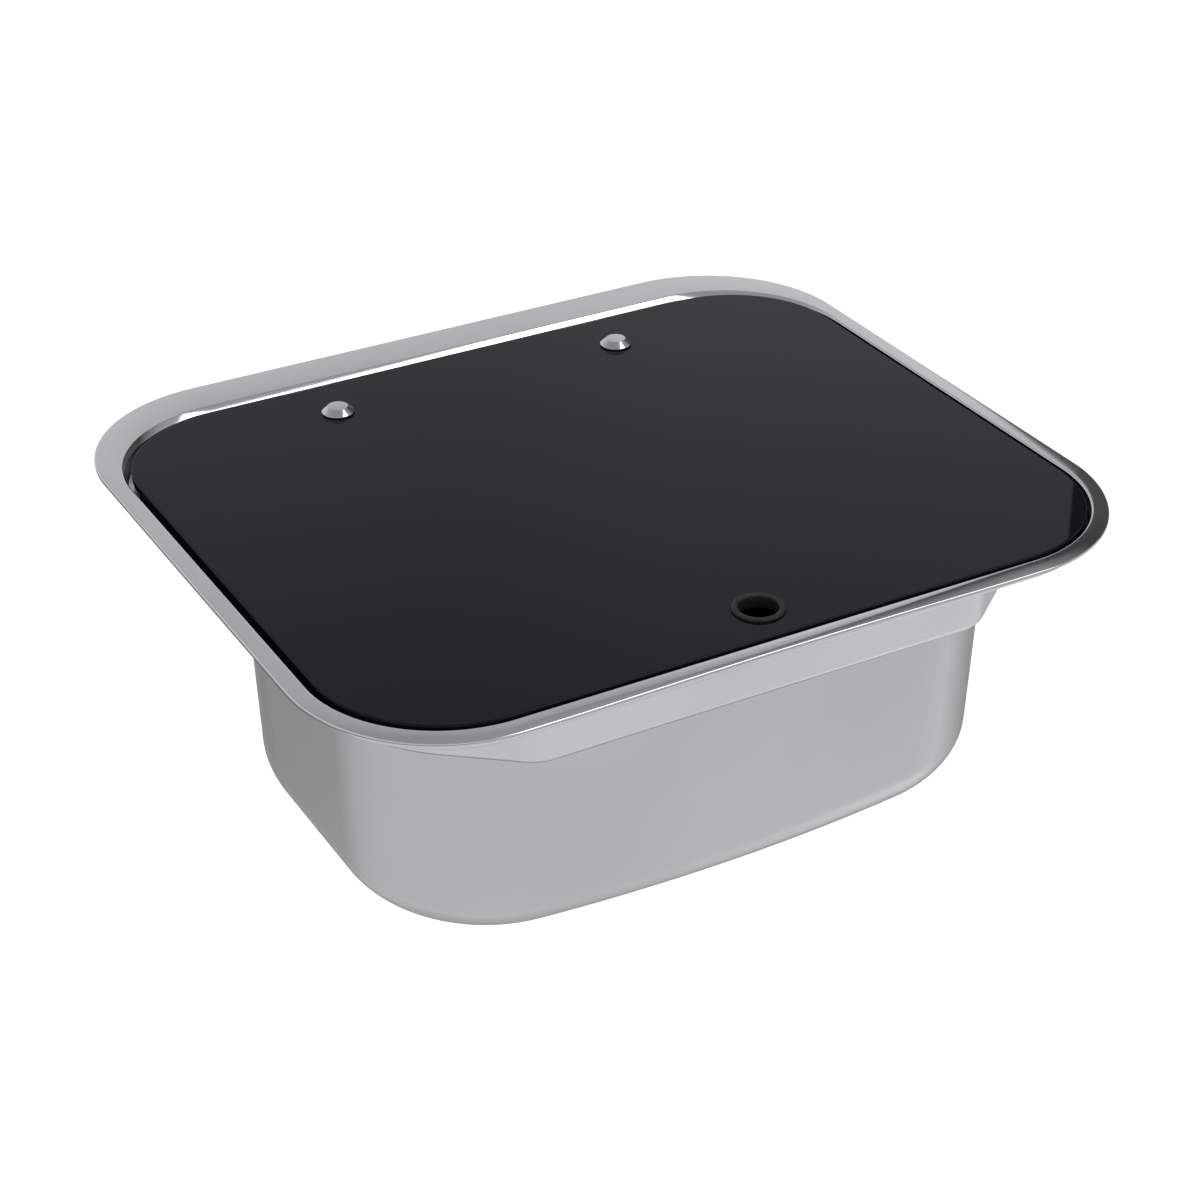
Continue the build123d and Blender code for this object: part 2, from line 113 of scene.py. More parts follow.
def basin_outline(grow):
    """Upper basin: round front corners that run tangent into the flat pocket's flanks."""
    corner, rear_corner = basin_corners[0] + grow, basin_corners[1] + grow
    half, front, rear = basin_half + grow, basin_front + grow, basin_rear + grow
    pocket, small = pocket_front + grow, pocket_corner + grow
    centre_x, centre_y = half - corner, corner - front
    touch_x = centre_x + corner * math.sin(pocket_flank)
    touch_y = centre_y - corner * math.cos(pocket_flank)
    meet_x = touch_x - (touch_y + pocket) / math.tan(pocket_flank)
    tangent = small * math.tan(pocket_flank / 2)
    quarter = math.pi / 2
    straight = np.linspace(0, meet_x - tangent, per_straight)
    right = [
        np.column_stack([straight, np.full(per_straight, -pocket)]),
        arc_points(meet_x - tangent, small - pocket, small, -quarter, pocket_flank - quarter),
        arc_points(centre_x, centre_y, corner, pocket_flank - quarter, 0),
        arc_points(half - rear_corner, rear - rear_corner, rear_corner, 0, quarter),
    ]
    return both_sides(np.vstack(right))


def bowl_outline(z, inset, grow):
    """Level cut of the deep bowl at a height, drawn in by the inset."""
    below = step_z - z
    wider = grow - inset
    corners = (bowl_corners[0] + wider, bowl_corners[1] + wider)
    half = bowl_half - bowl_slopes[0] * below + wider
    front = bowl_front - bowl_slopes[1] * below + wider
    rear = bowl_rear - bowl_slopes[2] * below + wider
    return rounded_outline(half, front, rear, corners, bowl_bow)


def flange_outline(inset):
    """The flange's outer edge, drawn in."""
    corner = flange_corner - inset
    reach = flange_depth / 2 - inset
    return rounded_outline(flange_width / 2 - inset, reach, reach, (corner, corner))


def recess_outline(grow):
    """The recess's wall, drawn out."""
    corner = recess_corner + grow
    sizes = (recess_half + grow, recess_front + grow, recess_rear + grow)
    return rounded_outline(*sizes, (corner, corner))


def circle_outline(radius):
    """Circle about the drain."""
    return arc_points(0, drain_y, radius, -math.pi / 2, 1.5 * math.pi)


def even_angles(outline, count):
    """Directions from the drain that space points evenly along an outline."""
    loop = np.vstack([outline, outline[:1]])
    run = np.concatenate([[0], np.cumsum(np.hypot(*np.diff(loop, axis=0).T))])
    at = np.linspace(0, run[-1], count, endpoint=False)
    x = np.interp(at, run, loop[:, 0])
    y = np.interp(at, run, loop[:, 1])
    return np.sort(np.arctan2(y - drain_y, x) % (2 * math.pi))


stations = even_angles(recess_outline(0), per_ring)


def ring(outline, z):
    """The outline's points in the stations' directions, at one height, in metres."""
    angles = np.arctan2(outline[:, 1] - drain_y, outline[:, 0]) % (2 * math.pi)
    order = np.argsort(angles)
    angles, points = angles[order], outline[order]
    x = np.interp(stations, angles, points[:, 0], period=2 * math.pi)
    y = np.interp(stations, angles, points[:, 1], period=2 * math.pi)
    return np.column_stack([x, y, np.full(len(x), z)]) * MM


def bend(steps, start, end):
    """(cosine, sine) pairs over a bend; angles in degrees."""
    angles = np.radians(np.linspace(start, end, steps + 1))
    return list(zip(np.cos(angles), np.sin(angles)))


def tight_profile():
    """(growth, height, cosine, sine) down the plain quarter bend of the front and the sides."""
    return [(tight_rim * (1 - s), flange_top - tight_rim * (1 - c), c, s) for c, s in bend(12, 0, 90)]


def sloped_profile():
    """The same for the rear: a bend, a straight slope, and a bend into the recess wall."""
    high, low = slope_rim
    c, s = math.cos(math.radians(slope_tilt)), math.sin(math.radians(slope_tilt))
    start = low * (1 - s) + slope_run * c + high * s
    end = flange_top - high * (1 - c) - slope_run * s - low * c
    upper = [(start - high * n, flange_top - high * (1 - m), m, n) for m, n in bend(5, 0, slope_tilt)]
    middle = (upper[-1][0] - slope_run * c / 2, upper[-1][1] - slope_run * s / 2, c, s)
    lower = [(low * (1 - n), end + low * m, m, n) for m, n in bend(5, slope_tilt, 90)]
    return upper + [middle] + lower


def edge_profile(low, radius, crown):
    """(inset, height, cosine, sine) up a turned-down edge and over the low crown behind it."""
    steep = bend(9, lip_tilt, crown)
    c, s = steep[0]
    points = [(0, cut_height, 0, 1)]
    points += [(radius * (s - n), low + radius * (m - c), m, n) for m, n in steep]
    inset, z, c, s = points[-1]
    slope = s / c
    reach = 2 * (flange_top - z) / slope
    for part in np.linspace(0, 1, 9)[1:]:
        tilt = math.atan(slope * (1 - part))
        height = z + slope * reach * (part - part**2 / 2)
        points.append((inset + reach * part, height, math.cos(tilt), math.sin(tilt)))
    return points


def edge_rings(thick):
    """Rings up the flange's edge, at a depth in the sheet; crowned along the front alone."""
    rings = []
    for crowned, plain in zip(edge_profile(*crowned_edge), edge_profile(*plain_edge)):
        pair = [
            ring(flange_outline(inset + thick * s), z - thick * c)
            for inset, z, c, s in (plain, crowned)
        ]
        forward = np.clip((-pair[0][:, 1:2] / MM - crown_start) / crown_blend, 0, 1)
        rings.append(pair[0] * (1 - forward) + pair[1] * forward)
    return rings


def rim_rings(thick):
    """Rings from the flange down to the recess wall, at a depth in the sheet."""
    rings = []
    for plain, slope in zip(tight_profile(), sloped_profile()):
        pair = [
            ring(recess_outline(grow + thick * s), z - thick * c) for grow, z, c, s in (plain, slope)
        ]
        rearward = np.clip((pair[0][:, 1:2] / MM - slope_start) / slope_blend, 0, 1)
        rings.append(pair[0] * (1 - rearward) + pair[1] * rearward)
    return rings


def sprung(rings):
    """Lifts the outer edge of the flange's front, where the thin sheet bows up a little."""
    for points in rings:
        x, y = points[:, 0] / MM, points[:, 1] / MM
        along = np.clip(1 - (x / lift_reach) ** 2, 0, None) ** 1.5
        share = np.clip((-y - recess_front) / (flange_depth / 2 - recess_front), 0, 1)
        points[:, 2] += front_lift * along * share * MM
    return rings


def upper_grow(z):
    """How far the upper basin's leaning wall has drawn out at a height over the step."""
    return (z - step_z) * upper_slope


def inner_rings():
    """The seen side of the sheet, from the flange's lower edge in and down to the drain hole."""
    rings = [ring(flange_outline(cut_bevel), 0)]
    rings += edge_rings(0)
    rings += rim_rings(0)
    for c, s in bend(5, 0, 90):
        z = ledge_z + foot_round - foot_round * s
        rings.append(ring(recess_outline(-foot_round * (1 - c)), z))
    for c, s in bend(6, 90, 0):
        grow = upper_grow(ledge_z) + mouth_round * (1 - c)
        rings.append(ring(basin_outline(grow), ledge_z - mouth_round + mouth_round * s))
    centre = upper_grow(step_z + step_round) - step_round / math.cos(math.radians(upper_lean))
    for c, s in bend(9, upper_lean, 90):
        z = step_z + step_round - step_round * s
        rings.append(ring(basin_outline(centre + step_round * c), z))
    for c, s in bend(8, 90, 0):
        z = step_z - lip_round + lip_round * s
        rings.append(ring(bowl_outline(z, -lip_round * (1 - c), 0), z))
    for z in np.linspace(step_z - lip_round, floor_z + bend_rise, 6)[1:-1]:
        rings.append(ring(bowl_outline(z, 0, 0), z))
    for c, s in bend(22, 0, 90):
        z = floor_z + bend_rise - bend_rise * s
        rings.append(ring(bowl_outline(z, bend_reach * (1 - c), 0), z))
    for c, s in bend(5, 90, 0):
        z = floor_z - dish_round + dish_round * s
        rings.append(ring(circle_outline(dish_radius + dish_round * (1 - c)), z))
    for c, s in bend(5, 0, 90):
        z = dish_z + dish_round - dish_round * s
        rings.append(ring(circle_outline(dish_radius - dish_round * (1 - c)), z))
    rings.append(ring(circle_outline(drain_hole), dish_z))
    return rings


def outer_rings():
    """The other side of the sheet, from the drain hole out and up to the flange's hollow."""
    rings = [ring(circle_outline(drain_hole), dish_z - sheet)]
    outer, inner = dish_round + sheet, dish_round - sheet
    edge = dish_radius + sheet
    for c, s in bend(5, 90, 0):
        radius = edge - outer * (1 - c)
        rings.append(ring(circle_outline(radius), dish_z - sheet + outer - outer * s))
    for c, s in bend(4, 0, 90):
        rings.append(ring(circle_outline(edge + inner * (1 - c)), floor_z - sheet - inner * (1 - s)))
    for c, s in bend(22, 90, 0):
        z = floor_z + bend_rise - (bend_rise + sheet) * s
        rings.append(ring(bowl_outline(z, (bend_reach + sheet) * (1 - c), sheet), z))
    lip = lip_round - sheet
    under_step = step_z - sheet
    for z in np.linspace(floor_z + bend_rise, under_step - lip, 6)[1:-1]:
        rings.append(ring(bowl_outline(z, 0, sheet), z))
    for c, s in bend(7, 0, 90):
        z = under_step - lip + lip * s
        rings.append(ring(bowl_outline(z, -lip * (1 - c), sheet), z))
    bottom = step_round + sheet
    lean = math.cos(math.radians(upper_lean))
    centre = upper_grow(under_step + bottom) + sheet - bottom / lean
    for c, s in bend(9, 90, upper_lean):
        rings.append(ring(basin_outline(centre + bottom * c), under_step + bottom - bottom * s))
    mouth = mouth_round - sheet
    under_ledge = ledge_z - sheet
    for c, s in bend(5, 0, 90):
        grow = upper_grow(under_ledge) + sheet + mouth * (1 - c)
        rings.append(ring(basin_outline(grow), under_ledge - mouth + mouth * s))
    foot = foot_round + sheet
    for c, s in bend(6, 90, 0):
        rings.append(ring(recess_outline(sheet - foot * (1 - c)), under_ledge + foot - foot * s))
    rings += rim_rings(sheet)[::-1]
    rings += edge_rings(sheet)[:0:-1]
    rings.append(ring(flange_outline(sheet), 0))
    return rings


def shell_from_rings(name, rings, marked=0, sharp=35):
    """Closed mesh whose rings follow one another; an attribute marks the first few rings, the cut edge,
    for a painted shadow line.
    """
    per, total = len(rings[0]), len(rings)
    verts = np.vstack(rings)
    faces = []
    for i in range(total):
        a, b = i * per, (i + 1) % total * per
        for j in range(per):
            k = (j + 1) % per
            faces.append((a + j, a + k, b + k, b + j))
    mesh = bpy.data.meshes.new(name)
    mesh.from_pydata(verts.tolist(), [], faces)
    marks = mesh.attributes.new("painted_shadow_edge", "FLOAT", "POINT")
    marks.data.foreach_set("value", (np.arange(len(verts)) < marked * per).astype(np.float32))
    return finish_mesh(name, mesh, sharp)


def finish_mesh(name, mesh, sharp=35):
    """Outward faces, smooth shading with creases past an angle, and an object for the mesh."""
    work = bmesh.new()
    work.from_mesh(mesh)
    bmesh.ops.remove_doubles(work, verts=work.verts, dist=1e-7)
    bmesh.ops.dissolve_degenerate(work, edges=work.edges, dist=1e-8)
    bmesh.ops.recalc_face_normals(work, faces=work.faces)
    if work.calc_volume(signed=True) < 0:
        bmesh.ops.reverse_faces(work, faces=work.faces)
    work.to_mesh(mesh)
    work.free()
    mesh.shade_smooth()
    mesh.set_sharp_from_angle(angle=math.radians(sharp))
    piece = bpy.data.objects.new(name, mesh)
    bpy.context.scene.collection.objects.link(piece)
    return piece


def new_material(name, color, metallic, roughness):
    """Material with a Principled shader; gives it with its node tree and the shader."""
    material = bpy.data.materials.new(name)
    material.use_nodes = True
    tree = material.node_tree
    shader = tree.nodes["Principled BSDF"]
    shader.inputs["Base Color"].default_value = (*color, 1)
    shader.inputs["Metallic"].default_value = metallic
    shader.inputs["Roughness"].default_value = roughness
    return material, tree, shader


def noise(tree, scale, stretch=(1, 1, 1), detail=3.0):
    """Noise over object coordinates, stretched by a Mapping node; gives its value socket."""
    place = tree.nodes.new("ShaderNodeTexCoord")
    mapping = tree.nodes.new("ShaderNodeMapping")
    mapping.inputs["Scale"].default_value = stretch
    texture = tree.nodes.new("ShaderNodeTexNoise")
    texture.inputs["Scale"].default_value = scale
    texture.inputs["Detail"].default_value = detail
    tree.links.new(place.outputs["Object"], mapping.inputs["Vector"])
    tree.links.new(mapping.outputs["Vector"], texture.inputs["Vector"])
    return texture.outputs["Fac"]


def spread(tree, value, low, high, source_low=0.3, source_high=0.7):
    """Map Range of a value, by default a noise's middle part, to a range."""
    node = tree.nodes.new("ShaderNodeMapRange")
    node.inputs["From Min"].default_value = source_low
    node.inputs["From Max"].default_value = source_high
    node.inputs["To Min"].default_value = low
    node.inputs["To Max"].default_value = high
    tree.links.new(value, node.inputs["Value"])
    return node.outputs["Result"]


def shade(tree, value, dark, light):
    """Blend between two colours by a value."""
    mix = tree.nodes.new("ShaderNodeMix")
    mix.data_type = "RGBA"
    mix.inputs["A"].default_value = (*dark, 1)
    mix.inputs["B"].default_value = (*light, 1)
    tree.links.new(value, mix.inputs["Factor"])
    return mix.outputs["Result"]


def add_bump(tree, shader, value, depth, strength=1.0):
    """Bump from a value; the depth is in metres."""
    bump = tree.nodes.new("ShaderNodeBump")
    bump.inputs["Strength"].default_value = strength
    bump.inputs["Distance"].default_value = depth
    tree.links.new(value, bump.inputs["Height"])
    tree.links.new(bump.outputs["Normal"], shader.inputs["Normal"])
    return bump


def steel_grain(tree, shader, dark, light, rough_low, rough_high):
    """Cloudy tone, fine rolling grain and a few hair scratches on a metal's shader."""
    cloud = noise(tree, 9, detail=2)
    grain = noise(tree, 160, (0.06, 1, 1), 4)
    hair = noise(tree, 55, (1, 0.02, 0.3), 5)
    tone = shade(tree, spread(tree, cloud, 0, 1), dark, light)
    rough = spread(tree, grain, rough_low, rough_high)
    scratched = tree.nodes.new("ShaderNodeMath")
    scratched.operation = "ADD"
    tree.links.new(rough, scratched.inputs[0])
    tree.links.new(spread(tree, hair, 0, 0.05, 0.60, 0.72), scratched.inputs[1])
    tree.links.new(scratched.outputs["Value"], shader.inputs["Roughness"])
    add_bump(tree, shader, grain, 0.000012, 0.5)
    return tone


def satin_steel(name, dark, light, rough_low, rough_high):
    """Satin stainless steel."""
    material, tree, shader = new_material(name, light, 1.0, rough_high)
    tone = steel_grain(tree, shader, dark, light, rough_low, rough_high)
    tree.links.new(tone, shader.inputs["Base Color"])
    return material


def times(tree, first, second):
    """Product of two values."""
    node = tree.nodes.new("ShaderNodeMath")
    node.operation = "MULTIPLY"
    tree.links.new(first, node.inputs[0])
    tree.links.new(second, node.inputs[1])
    return node.outputs["Value"]


def mixed(tree, factor, first, second):
    """Value that goes from the first socket's to a plain number as the factor rises."""
    node = tree.nodes.new("ShaderNodeMix")
    node.inputs["B"].default_value = second
    tree.links.new(factor, node.inputs["Factor"])
    tree.links.new(first, node.inputs["A"])
    return node.outputs["Result"]


def drawn_steel():
    """Satin steel with painted light and shade: painted shade where the walls turn away from the viewer,
    a painted brighter reflection above the step, and a painted shadow line along the flange's cut edge.
    """
    material, tree, shader = new_material("satin_sink_steel", (0.7, 0.7, 0.71), 1.0, 0.32)
    tone = steel_grain(tree, shader, (0.67, 0.67, 0.685), (0.72, 0.72, 0.735), 0.28, 0.36)
    place = tree.nodes.new("ShaderNodeTexCoord")
    split = tree.nodes.new("ShaderNodeSeparateXYZ")
    tree.links.new(place.outputs["Object"], split.inputs["Vector"])
    step_fade, flange_fade, wall_fade = (-0.0385, -0.0365), (-0.007, -0.003), (-0.050, -0.043)
    # Painted brighter reflection: the base colour rises by up to 18 % above the step, except on the
    # flange.
    painted_reflection_above_step = spread(tree, split.outputs["Z"], 1.0, 1.18, *step_fade)
    on_flange = spread(tree, split.outputs["Z"], 0, 1, *flange_fade)
    # Painted shade: the base colour falls to 0.35 where the walls turn away from the viewer, less so
    # from just under the step upwards and not on the flange; the specular tint takes it everywhere.
    near_step = spread(tree, split.outputs["Z"], 0, 0.3, *wall_fade)
    turned_off = tree.nodes.new("ShaderNodeLayerWeight")
    turned_off.inputs["Blend"].default_value = 0.5
    facing_shade = spread(tree, turned_off.outputs["Facing"], 1.0, 0.35, 0.55, 1.0)
    painted_falloff_shade = mixed(tree, near_step, facing_shade, 1.0)
    # Painted shadow line: base colour and specular tint drop to 0.3 on the flange's cut edge, the rings
    # the attribute marks.
    cut = tree.nodes.new("ShaderNodeAttribute")
    cut.attribute_name = "painted_shadow_edge"
    edge_shadow_tone = spread(tree, cut.outputs["Fac"], 1.0, 0.3, 0, 1)
    # The painted light and shade scale the base colour; the flange keeps only the painted shadow line.
    painted_light_and_shade = times(tree, mixed(tree, on_flange, times(tree, painted_reflection_above_step, painted_falloff_shade), 1.0), edge_shadow_tone)
    rough = shader.inputs["Roughness"].links[0].from_socket
    smoother = spread(tree, on_flange, 1.0, 0.33, 0, 1)
    tree.links.new(times(tree, rough, smoother), shader.inputs["Roughness"])
    scaled = tree.nodes.new("ShaderNodeVectorMath")
    scaled.operation = "SCALE"
    tree.links.new(tone, scaled.inputs[0])
    tree.links.new(painted_light_and_shade, scaled.inputs["Scale"])
    tree.links.new(scaled.outputs["Vector"], shader.inputs["Base Color"])
    # The painted shade and the painted shadow line also lower the specular tint.
    tree.links.new(times(tree, painted_falloff_shade, edge_shadow_tone), shader.inputs["Specular Tint"])
    return material


sink_steel = drawn_steel()
pressed_sink = shell_from_rings("pressed_sink", sprung(inner_rings() + outer_rings()), 2)
pressed_sink.data.materials.append(sink_steel)
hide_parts("sink_bowl")
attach(pressed_sink, "sink")


# ---- Rubber and foam seals ----
# Black moulded rubber round the ledge and at the drain, and grey closed-cell foam tape in the
# hollow under the flange.
def give(material, *names):
    """Puts a material on CAD nodes."""
    for name in names:
        slots = nodes[name].data.materials
        slots.clear()
        slots.append(material)


def matt_rubber(name, dark, light, rough):
    """Matt rubber with a fine moulded skin and a faint bloom."""
    material, tree, shader = new_material(name, dark, 0.0, rough)
    bloom = noise(tree, 30, detail=3)
    skin = noise(tree, 1400, detail=2)
    tone = spread(tree, bloom, 0, 1)
    tree.links.new(shade(tree, tone, dark, light), shader.inputs["Base Color"])
    tree.links.new(spread(tree, skin, rough - 0.08, rough + 0.08), shader.inputs["Roughness"])
    add_bump(tree, shader, skin, 0.00003, 0.6)
    return material


def soften(corners, steps=5):
    """Polyline through (radius, z, rounding) corners; each rounding cuts its corner."""
    points = []
    count = len(corners)
    for i, (x, z, rounding) in enumerate(corners):
        tip = np.array((x, z))
        if rounding == 0:
            points.append(tip)
            continue
        before = np.array(corners[i - 1][:2]) - tip
        after = np.array(corners[(i + 1) % count][:2]) - tip
        before, after = before / np.linalg.norm(before), after / np.linalg.norm(after)
        half = math.acos(np.clip(before @ after, -1, 1)) / 2
        middle = (before + after) / np.linalg.norm(before + after)
        centre = tip + middle * rounding / math.sin(half)
        start = tip + before * rounding / math.tan(half) - centre
        end = tip + after * rounding / math.tan(half) - centre
        sweep = math.pi - 2 * half
        for k in range(steps + 1):
            part = k / steps
            arm = start * math.sin((1 - part) * sweep) + end * math.sin(part * sweep)
            points.append(centre + arm / math.sin(sweep))
    return np.array(points)


def turned(name, corners, place=(0, 0, 0), segments=96):
    """Solid of revolution about an upright axis; a profile that ends on the axis is capped."""
    profile = soften(corners)
    open_ends = profile[0][0] < 1e-6
    rim = profile[1:-1] if open_ends else profile
    angles = np.linspace(0, 2 * math.pi, segments, endpoint=False)
    verts = []
    for radius, z in rim:
        level = np.full(segments, z)
        verts.append(np.column_stack([radius * np.cos(angles), radius * np.sin(angles), level]))
    faces = []
    for i in range(len(rim) - (1 if open_ends else 0)):
        a, b = i * segments, (i + 1) % len(rim) * segments
        for j in range(segments):
            k = (j + 1) % segments
            faces.append((a + j, a + k, b + k, b + j))
    verts = np.vstack(verts)
    if open_ends:
        poles = [(0, 0, profile[0][1]), (0, 0, profile[-1][1])]
        for pole, row in ((len(verts), 0), (len(verts) + 1, (len(rim) - 1) * segments)):
            faces += [(pole, row + j, row + (j + 1) % segments) for j in range(segments)]
        verts = np.vstack([verts, poles])
    mesh = bpy.data.meshes.new(name)
    mesh.from_pydata(((verts + place) * MM).tolist(), [], faces)
    return finish_mesh(name, mesh)


def dress(piece, material, slot, body, *replaced):
    """Gives a new piece its material and its body and hides the nodes it stands for; the slot argument
    is not used.
    """
    piece.data.materials.clear()
    piece.data.materials.append(material)
    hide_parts(*replaced)
    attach(piece, body)


black_rubber = matt_rubber("black_rubber", (0.010, 0.010, 0.011), (0.018, 0.018, 0.019), 0.55)
grey_foam = matt_rubber("grey_foam", (0.05, 0.05, 0.052), (0.09, 0.09, 0.093), 0.85)
give(grey_foam, "flange_seal")
give(black_rubber, "lid_seal", "cap_washers", "leaf_pad_left", "leaf_pad_right")
give(black_rubber, "upper_gasket", "lower_gasket")
glass_low, glass_high, finger_y = -0.6, 3.4, -152
grommet_section = [
    (9.35, glass_high + 1.4, 0.65),
    (12.35, glass_high + 1.4, 0.7),
    (12.35, glass_high, 0.25),
    (10.75, glass_high, 0),
    (10.75, glass_low, 0),
    (12.35, glass_low, 0.3),
    (12.35, glass_low - 1.4, 0.5),
    (9.35, glass_low - 1.4, 0.4),
]
ring_piece = turned("finger_ring", grommet_section, (0, finger_y, 0))
dress(ring_piece, black_rubber, "black_rubber", "lid", "finger_grommet")


# ---- Hinges ----
# Plain stainless leaves, plates, pins, rivets and nuts, punched and left as rolled. White nylon
# sleeves keep the screws off the glass.
def row_tree():
    """Geometry Nodes that repeat the input in a centred row along X."""
    tree = bpy.data.node_groups.new("row", "GeometryNodeTree")
    face = tree.interface
    face.new_socket("Geometry", in_out="INPUT", socket_type="NodeSocketGeometry")
    for label, kind, value in (("Count", "NodeSocketInt", 2), ("Spacing", "NodeSocketFloat", 0.1)):
        face.new_socket(label, in_out="INPUT", socket_type=kind).default_value = value
    face.new_socket("Material", in_out="INPUT", socket_type="NodeSocketMaterial")
    face.new_socket("Geometry", in_out="OUTPUT", socket_type="NodeSocketGeometry")
    add, link = tree.nodes.new, tree.links.new
    given, result = add("NodeGroupInput"), add("NodeGroupOutput")
    line = add("GeometryNodeMeshLine")
    step, start, reach = add("ShaderNodeCombineXYZ"), add("ShaderNodeCombineXYZ"), add("ShaderNodeMath")
    gaps = add("ShaderNodeMath")
    gaps.operation, gaps.inputs[1].default_value = "SUBTRACT", 1
    reach.operation = "MULTIPLY"
    half = add("ShaderNodeMath")
    half.operation, half.inputs[1].default_value = "MULTIPLY", -0.5
    link(given.outputs["Count"], gaps.inputs[0])
    link(gaps.outputs["Value"], reach.inputs[0])
    link(given.outputs["Spacing"], reach.inputs[1])
    link(reach.outputs["Value"], half.inputs[0])
    link(half.outputs["Value"], start.inputs["X"])
    link(given.outputs["Spacing"], step.inputs["X"])
    link(given.outputs["Count"], line.inputs["Count"])
    link(start.outputs["Vector"], line.inputs["Start Location"])
    link(step.outputs["Vector"], line.inputs["Offset"])
    copies, real = add("GeometryNodeInstanceOnPoints"), add("GeometryNodeRealizeInstances")
    paint = add("GeometryNodeSetMaterial")
    link(line.outputs["Mesh"], copies.inputs["Points"])
    link(given.outputs["Geometry"], copies.inputs["Instance"])
    link(copies.outputs["Instances"], real.inputs["Geometry"])
    link(real.outputs["Geometry"], paint.inputs["Geometry"])
    link(given.outputs["Material"], paint.inputs["Material"])
    link(paint.outputs["Geometry"], result.inputs["Geometry"])
    return tree


row = row_tree()


def repeated(single, name, material, *runs):
    """Plain mesh of a piece repeated in rows of (count, spacing), one row inside the next."""
    for count, spacing in runs:
        modifier = single.modifiers.new("row", "NODES")
        modifier.node_group = row
        for item in row.interface.items_tree:
            if item.in_out == "INPUT" and item.name in ("Count", "Spacing", "Material"):
                given = {"Count": count, "Spacing": spacing, "Material": material}
                modifier[item.identifier] = given[item.name]
    bpy.context.view_layer.update()
    solved = single.evaluated_get(bpy.context.evaluated_depsgraph_get())
    mesh = bpy.data.meshes.new_from_object(solved)
    bpy.data.objects.remove(single)
    return finish_mesh(name, mesh)


hinge_x, rivet_y, plate_top, rivet_gap = 81.0, 143.4, -6.3, 16.0
hinge_steel = satin_steel("hinge_steel", (0.30, 0.30, 0.31), (0.40, 0.40, 0.41), 0.34, 0.46)
for side in ("left", "right"):
    give(hinge_steel, "hinge_base_" + side, "hinge_pin_" + side, "lid_leaf_" + side)
give(hinge_steel, "hinge_nuts", "drain_screw")
rivet_section = [
    (0, 0.9, 0),
    (1.6, 0.82, 0),
    (2.8, 0.5, 0),
    (3.4, 0, 0.08),
    (2.0, 0, 0),
    (2.0, -1.7, 0),
    (3.4, -1.7, 0.08),
    (2.8, -2.2, 0),
    (1.6, -2.52, 0),
    (0, -2.6, 0),
]
rivet = turned("rivet", rivet_section, (0, rivet_y, plate_top), 40)
rivet_rows = ((2, rivet_gap * MM), (2, 2 * hinge_x * MM))
rivets = repeated(rivet, "ledge_rivets", hinge_steel, *rivet_rows)
dress(rivets, hinge_steel, "hinge_steel", "sink", "hinge_rivets")
nylon = matt_rubber("nylon", (0.62, 0.62, 0.58), (0.72, 0.72, 0.68), 0.45)
give(nylon, "glass_bush_left", "glass_bush_right")


# ---- Glass lid ----
# Tempered glass, 4 mm thick and black through and through, with a polished edge all round.
def black_glass_material():
    """Gloss black with faint wiping marks in its polish."""
    material, tree, shader = new_material("black_glass", (0.0075, 0.0066, 0.0125), 0.0, 0.03)
    wipe = noise(tree, 14, (1, 0.4, 1), 5)
    tree.links.new(spread(tree, wipe, 0.0, 0.02), shader.inputs["Roughness"])
    shader.inputs["Specular IOR Level"].default_value = 0.126
    return material


give(black_glass_material(), "glass_lid")


# ---- Chromed caps, drain and plug ----
# Turned and polished caps on the lid's screws; a steel strainer, a rubber plug with a chromed
# cap and knob, and a black moulded waste.
def turning_marks(name, color, axis, depth, roughness):
    """Polished metal with faint rings about upright axes at plus and minus x and y, in mm."""
    material, tree, shader = new_material(name, color, 1.0, roughness)
    x, y = axis
    place = tree.nodes.new("ShaderNodeTexCoord")
    fold = tree.nodes.new("ShaderNodeVectorMath")
    fold.operation = "ABSOLUTE"
    shift = tree.nodes.new("ShaderNodeVectorMath")
    shift.operation = "SUBTRACT"
    flat = tree.nodes.new("ShaderNodeVectorMath")
    flat.operation = "MULTIPLY"
    size = tree.nodes.new("ShaderNodeVectorMath")
    size.operation = "LENGTH"
    shift.inputs[1].default_value = (x * MM, abs(y) * MM, 0)
    flat.inputs[1].default_value = (1, 1, 0)
    tree.links.new(place.outputs["Object"], fold.inputs[0])
    tree.links.new(fold.outputs["Vector"], shift.inputs[0])
    tree.links.new(shift.outputs["Vector"], flat.inputs[0])
    tree.links.new(flat.outputs["Vector"], size.inputs[0])
    rings = tree.nodes.new("ShaderNodeTexNoise")
    rings.noise_dimensions = "1D"
    rings.inputs["Scale"].default_value = 2600
    tree.links.new(size.outputs["Value"], rings.inputs["W"])
    rough = spread(tree, rings.outputs["Fac"], roughness * 0.7, roughness * 1.5)
    tree.links.new(rough, shader.inputs["Roughness"])
    stain = spread(tree, noise(tree, 60, detail=4), 0, 1)
    tree.links.new(shade(tree, stain, tuple(c * 0.9 for c in color), color), shader.inputs["Base Color"])
    add_bump(tree, shader, rings.outputs["Fac"], depth, 0.6)
    return material


cap_y = 119.1
chrome = turning_marks("cap_chrome", (0.66, 0.66, 0.67), (hinge_x, cap_y), 0.000008, 0.12)
shank_end = -6.9
cap_section = [
    (0, 7.2, 0),
    (5.2, 7.2, 0.3),
    (8.25, 4.5, 0.25),
    (8.25, 3.9, 0.15),
    (3.0, 3.9, 0.2),
    (3.0, shank_end, 0.5),
    (0, shank_end, 0),
]
cap = turned("cap", cap_section, (0, cap_y, 0))
caps = repeated(cap, "cap_pair", chrome, (2, 2 * hinge_x * MM))
dress(caps, chrome, "chrome", "lid", "cap_screws")

